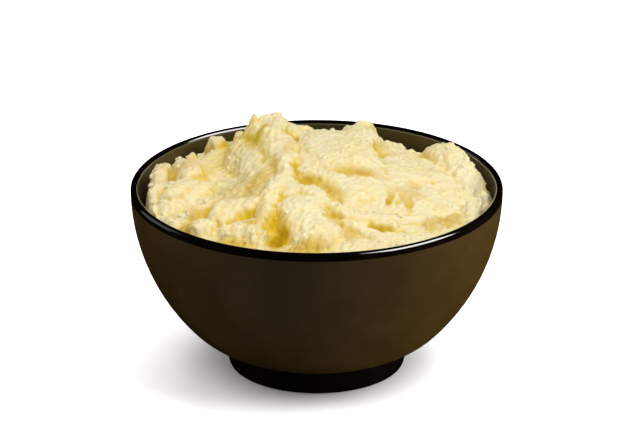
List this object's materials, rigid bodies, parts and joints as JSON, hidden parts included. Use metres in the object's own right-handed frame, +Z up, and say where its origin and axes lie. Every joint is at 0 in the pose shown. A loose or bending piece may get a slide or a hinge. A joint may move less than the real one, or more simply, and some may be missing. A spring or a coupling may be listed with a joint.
{
  "type": "bowl of mashed potato",
  "caption": "Mashed potato heaped in a round, footed, dark stoneware bowl with a glossy rounded rim; stands on its foot ring.",
  "frame": {"origin": "centre of the foot ring, on the plane the bowl stands on", "axes": "+Z up along the bowl's axis, -Y towards the diner, +X to the diner's right"},
  "size_m": [0.14, 0.14, 0.0884],
  "materials": {
    "bowl_glaze": "satin dark brown glaze, glossy black at the rim",
    "mashed_potato": "moist, soft sheen"
  },
  "bodies": {
    "root": {"bowl": "bowl_glaze", "mashed_potato": "mashed_potato"}
  },
  "joints": []
}
